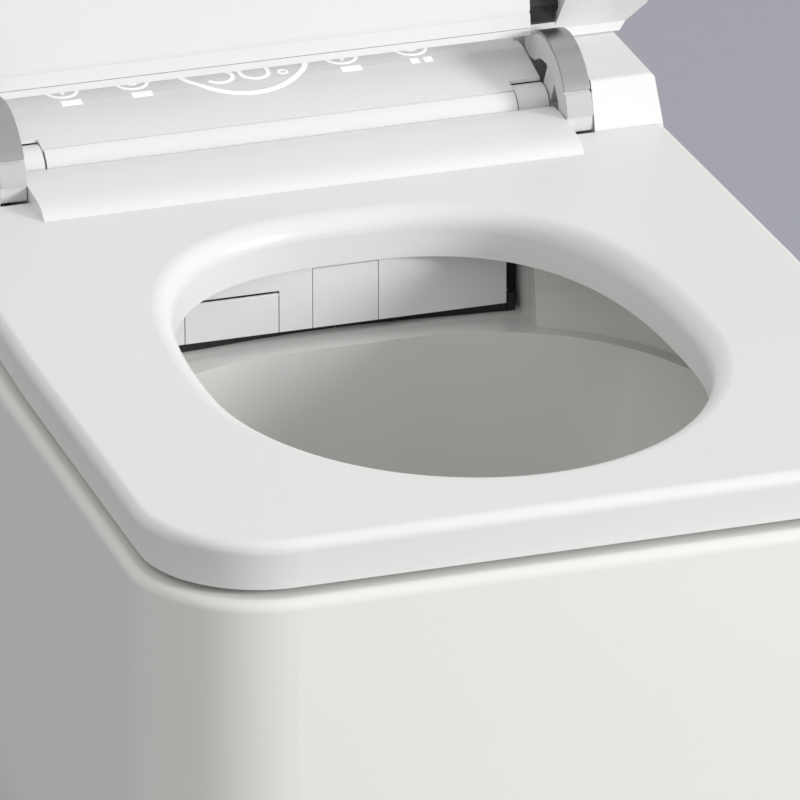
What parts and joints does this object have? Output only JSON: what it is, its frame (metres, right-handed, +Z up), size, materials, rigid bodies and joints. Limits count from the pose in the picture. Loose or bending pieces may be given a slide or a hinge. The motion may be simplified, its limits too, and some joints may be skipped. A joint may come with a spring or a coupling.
{
  "type": "wall hung bidet toilet",
  "caption": "Square wall hung ceramic toilet with a built-in bidet unit: heated seat and lid on a shared hinge line, spray wand, air dryer flap and display housing.",
  "frame": {"origin": "midway between the two wall bolts, on the face that meets the wall", "axes": "+Z up, -Y forward out of the wall, +X to the right seen from the front"},
  "size_m": [0.396, 0.572, 0.8315],
  "materials": {
    "ceramic": "glazed",
    "white_plastic": "gloss",
    "seat_plastic": "gloss",
    "lid_plastic": "gloss",
    "housing_grey": "matte",
    "dark_plastic": "matte",
    "steel": "brushed",
    "brass": "turned",
    "rubber": "matte",
    "seal_rubber": "matte",
    "circuit_board": "matte",
    "heater_film": "matte",
    "arm_body": "satin",
    "chrome": "polished",
    "cap": "gloss",
    "wand": "gloss"
  },
  "bodies": {
    "pan": {"ceramic_pan": "ceramic", "base_tray": "housing_grey", "top_cover": "white_plastic", "front_fascia": "white_plastic", "tray_bolts": "steel", "hinge_shaft_left": "steel", "hinge_shaft_right": "steel", "lid_damper": "dark_plastic", "seat_damper": "dark_plastic", "nozzle_panel": "white_plastic", "nozzle_seal": "seal_rubber", "nozzle_case": "housing_grey", "wand_guide": "housing_grey", "dryer_duct": "housing_grey", "blower_housing": "dark_plastic", "water_heater": "housing_grey", "inlet_valve": "dark_plastic", "water_inlet": "brass", "power_gland": "rubber", "control_board": "circuit_board", "display_board": "circuit_board", "wand_motor": "steel"},
    "lid": {"lid_shell": "lid_plastic", "lid_inner_panel": "lid_plastic", "lid_bumpers": "rubber", "arm_clamps": "dark_plastic", "lid_arm_left": "arm_body", "lid_arm_right": "arm_body", "arm_trim_left": "chrome", "arm_trim_right": "chrome", "arm_cap_left": "cap", "arm_cap_right": "cap"},
    "seat": {"seat_shell": "seat_plastic", "seat_base_plate": "white_plastic", "seat_heater_film": "heater_film", "seat_bumpers": "rubber", "hinge_bar": "white_plastic"},
    "wand": {"nozzle_wand": "wand", "nozzle_gate": "white_plastic"},
    "flap": {"dryer_flap": "white_plastic"},
    "impeller": {"blower_impeller": "dark_plastic"}
  },
  "joints": [
    {"name": "lid_hinge", "type": "hinge", "parent": "pan", "child": "lid", "pos_m": [0, -0.1155, 0.1325], "axis": [-1, 0, 0], "range_deg": [-97, 0]},
    {"name": "seat_hinge", "type": "hinge", "parent": "pan", "child": "seat", "pos_m": [0, -0.1155, 0.1325], "axis": [-1, 0, 0], "range_deg": [0, 95]},
    {"name": "wand_slide", "type": "slide", "parent": "pan", "child": "wand", "axis": [0, -0.9976, -0.0698], "range_m": [0, 0.075]},
    {"name": "flap_hinge", "type": "hinge", "parent": "pan", "child": "flap", "pos_m": [0, -0.214, 0.0932], "axis": [-1, 0, 0], "range_deg": [0, 70]},
    {"name": "impeller_spin", "type": "hinge", "parent": "pan", "child": "impeller", "pos_m": [-0.05803, -0.068, 0.088], "axis": [0, 0, 1], "continuous": true}
  ]
}
